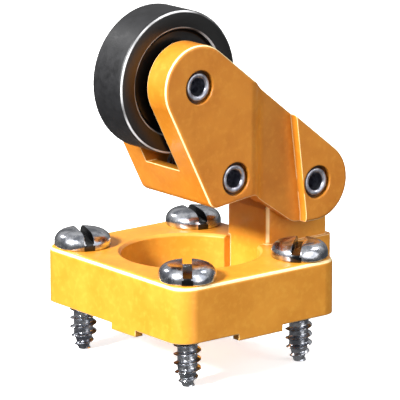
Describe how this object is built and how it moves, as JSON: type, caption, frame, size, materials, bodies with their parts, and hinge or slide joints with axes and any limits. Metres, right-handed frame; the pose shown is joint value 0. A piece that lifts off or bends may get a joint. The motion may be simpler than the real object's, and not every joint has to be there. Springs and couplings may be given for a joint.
{
  "type": "limit switch roller lever head",
  "caption": "Die-cast flange with a post that carries a forked lever, a guide roller on tubular pins, a plunger hole and slotted tapping screws.",
  "frame": {"origin": "centre of the plunger hole on the flange's mounting face", "axes": "+Z away from the switch body, +X from the guide roller towards the pivot post, Y along the pins"},
  "size_m": [0.0403, 0.0348, 0.0551],
  "materials": {
    "cast_paint": "orange-yellow enamel on zinc die casting, satin",
    "lever_paint": "orange-yellow enamel on zinc die casting, satin",
    "roller_plastic": "black moulded polyamide",
    "pin_steel": "zinc-plated steel tube",
    "washer_steel": "plain stamped steel",
    "bush_bronze": "sintered bronze",
    "hardened_steel": "hardened and ground steel",
    "spring_wire": "drawn spring steel",
    "screw_zinc": "bright zinc plate"
  },
  "bodies": {
    "base": {"base_flange": "cast_paint", "pivot_bush": "bush_bronze", "return_spring": "spring_wire", "screw_front": "screw_zinc", "screw_right": "screw_zinc", "screw_left": "screw_zinc", "screw_back": "screw_zinc"},
    "lever": {"lever_fork": "lever_paint", "roller_pin": "pin_steel", "press_pin": "pin_steel", "pivot_pin": "pin_steel", "roller_washer_near": "washer_steel", "roller_washer_far": "washer_steel", "press_washer_near": "washer_steel", "press_washer_far": "washer_steel", "pivot_washer_near": "washer_steel", "pivot_washer_far": "washer_steel"},
    "guide_wheel": {"guide_roller": "roller_plastic", "roller_bush": "bush_bronze"},
    "press_wheel": {"press_roller": "hardened_steel"}
  },
  "joints": [
    {"name": "lever_pivot", "type": "hinge", "parent": "base", "child": "lever", "pos_m": [0.0182, 0, 0.0184], "axis": [0, -1, 0], "range_deg": [0, 14], "stiffness_Nm_per_rad": 0.12, "springref_deg": -28.65, "deforming": ["return_spring"]},
    {"name": "roller_spin", "type": "hinge", "parent": "lever", "child": "guide_wheel", "pos_m": [-0.005, 0, 0.0363], "axis": [0, 1, 0], "continuous": true},
    {"name": "press_roller_spin", "type": "hinge", "parent": "lever", "child": "press_wheel", "pos_m": [0.002, 0, 0.02125], "axis": [0, 1, 0], "continuous": true}
  ]
}
